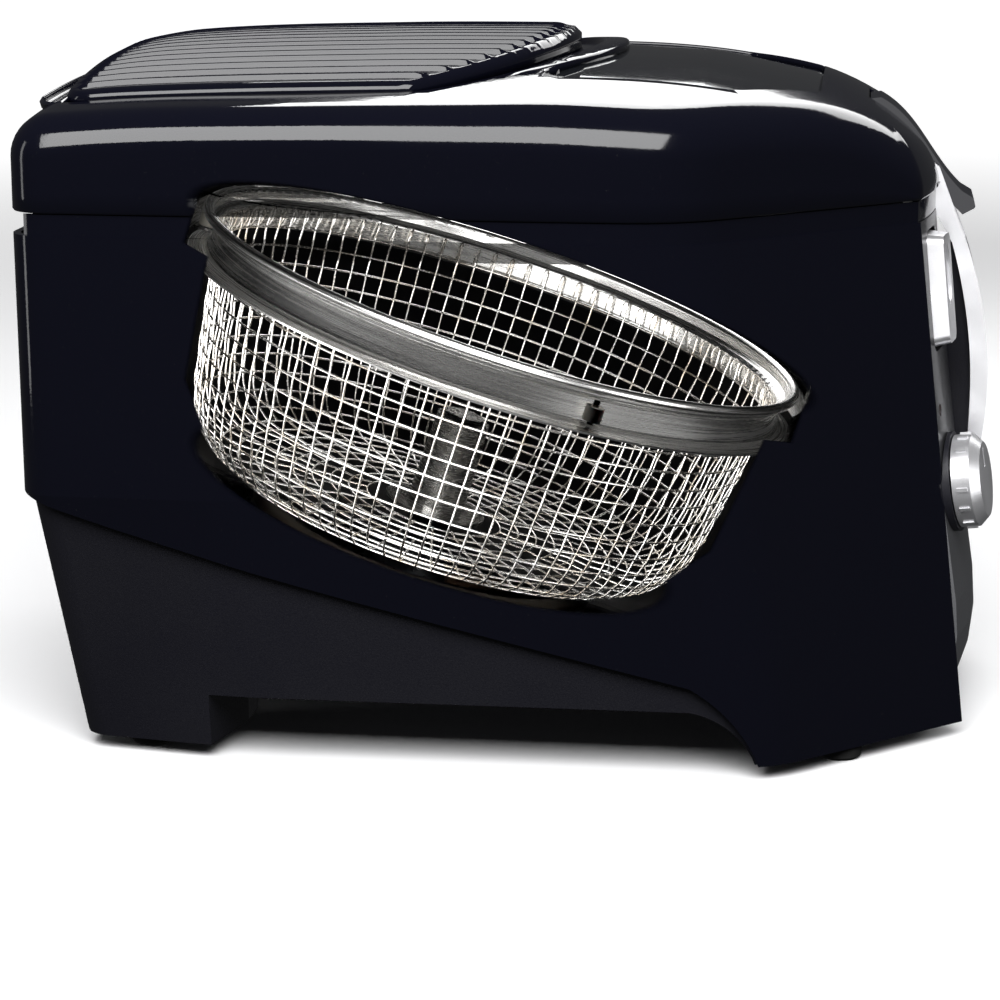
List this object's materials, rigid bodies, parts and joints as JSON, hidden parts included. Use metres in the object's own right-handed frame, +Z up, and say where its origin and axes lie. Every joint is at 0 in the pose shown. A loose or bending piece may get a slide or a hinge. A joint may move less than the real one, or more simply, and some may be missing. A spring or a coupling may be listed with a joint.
{
  "type": "deep fryer",
  "caption": "Household deep fryer with a tilted motor-turned wire basket, hinged lid with window and filter cover, folding basket handle, thermostat knob and drain door.",
  "frame": {"origin": "floor level at the centre of the bounding box of the closed fryer", "axes": "+Z up, the front with the handle and the knob faces -Y, +X is to the left of a person who stands facing the front"},
  "size_m": [0.31, 0.3941, 0.2895],
  "materials": {
    "gloss_black": "gloss",
    "matte_black": "matte",
    "satin_grey": "satin",
    "silver_plastic": "satin",
    "rubber": "matte",
    "nonstick": "satin",
    "steel": "satin",
    "wire": "polished",
    "zinc": "satin",
    "smoked_glass": "gloss",
    "silicone": "matte",
    "filter_foam": "matte",
    "grease_felt": "matte",
    "ceramic": "matte",
    "amber_lens": "gloss",
    "brass": "satin",
    "nylon": "matte"
  },
  "bodies": {
    "housing": {"outer_casing": "gloss_black", "base_tray": "matte_black", "base_screws": "zinc", "rubber_feet": "rubber", "front_panel": "satin_grey", "handle_channel": "matte_black", "drain_door_pin": "steel", "drain_pipe": "nonstick", "drain_cap": "silicone", "rim_frame": "gloss_black", "hinge_pins": "steel", "bowl": "nonstick", "heating_element": "steel", "element_terminals": "ceramic", "heat_shield": "steel", "spindle_motor": "zinc", "motor_screws": "zinc", "knob_bezel": "matte_black", "thermostat": "nylon", "thermostat_probe": "brass", "thermal_fuse": "ceramic", "indicator_lamp": "amber_lens", "button_spring": "steel", "button_guide": "matte_black", "power_inlet": "matte_black", "terminal_block": "nylon"},
    "lid": {"lid_shell": "gloss_black", "lid_liner": "matte_black", "lid_window": "smoked_glass", "lid_gasket": "silicone", "lid_catch": "matte_black", "odour_filter": "filter_foam", "grease_filter": "grease_felt"},
    "filter_cover": {"filter_cover": "gloss_black"},
    "spindle": {"drive_spindle": "steel"},
    "carrier": {"carrier": "steel", "roller_axles": "steel", "handle_bracket": "gloss_black", "handle_pin": "steel"},
    "basket": {"basket_rim": "steel", "basket_mesh": "wire", "basket_hub": "steel"},
    "roller_rear": {"roller_rear": "nylon"},
    "roller_left": {"roller_left": "nylon"},
    "roller_right": {"roller_right": "nylon"},
    "handle": {"handle_trim": "silver_plastic", "handle_grip": "matte_black"},
    "knob": {"thermostat_knob": "silver_plastic"},
    "release_button": {"release_button": "silver_plastic"},
    "drain_door": {"drain_door": "satin_grey"}
  },
  "joints": [
    {"name": "lid_hinge", "type": "hinge", "parent": "housing", "child": "lid", "pos_m": [0, 0.191, 0.2217], "axis": [-1, 0, 0], "range_deg": [0, 80]},
    {"name": "filter_cover_lift", "type": "slide", "parent": "lid", "child": "filter_cover", "axis": [0, 0, 1], "range_m": [0, 0.04]},
    {"name": "basket_lift", "type": "slide", "parent": "housing", "child": "carrier", "axis": [0, -0.309, 0.9511], "range_m": [0, 0.021]},
    {"name": "basket_spin", "type": "hinge", "parent": "carrier", "child": "basket", "pos_m": [0, 0.022, 0.155], "axis": [0, -0.309, 0.9511], "continuous": true},
    {"name": "spindle_spin", "type": "hinge", "parent": "housing", "child": "spindle", "pos_m": [0, 0.022, 0.155], "axis": [0, -0.309, 0.9511], "continuous": true},
    {"name": "handle_fold", "type": "hinge", "parent": "carrier", "child": "handle", "pos_m": [0, -0.166, 0.232], "axis": [-1, 0, 0], "range_deg": [0, 95]},
    {"name": "thermostat_turn", "type": "hinge", "parent": "housing", "child": "knob", "pos_m": [-0.05, -0.1796, 0.105], "axis": [-0.1802, -0.9725, 0.1478], "range_deg": [0, 270]},
    {"name": "release_press", "type": "slide", "parent": "housing", "child": "release_button", "axis": [0.1727, 0.9794, -0.1045], "range_m": [0, 0.004], "stiffness_N_per_m": 400},
    {"name": "drain_door_swing", "type": "hinge", "parent": "housing", "child": "drain_door", "pos_m": [0.034, -0.1873, 0.0236], "axis": [1, 0, 0], "range_deg": [0, 80]},
    {"name": "roller_rear_spin", "type": "hinge", "parent": "carrier", "child": "roller_rear", "pos_m": [0, 0.14773, 0.20426], "axis": [0, -0.309, 0.9511], "continuous": true},
    {"name": "roller_left_spin", "type": "hinge", "parent": "carrier", "child": "roller_left", "pos_m": [-0.12217, -0.03465, 0.145], "axis": [0, -0.309, 0.9511], "continuous": true},
    {"name": "roller_right_spin", "type": "hinge", "parent": "carrier", "child": "roller_right", "pos_m": [0.12217, -0.03465, 0.145], "axis": [0, -0.309, 0.9511], "continuous": true}
  ],
  "couplings": [
    {"joint": "spindle_spin", "follows": "basket_spin", "ratio": 1}
  ]
}
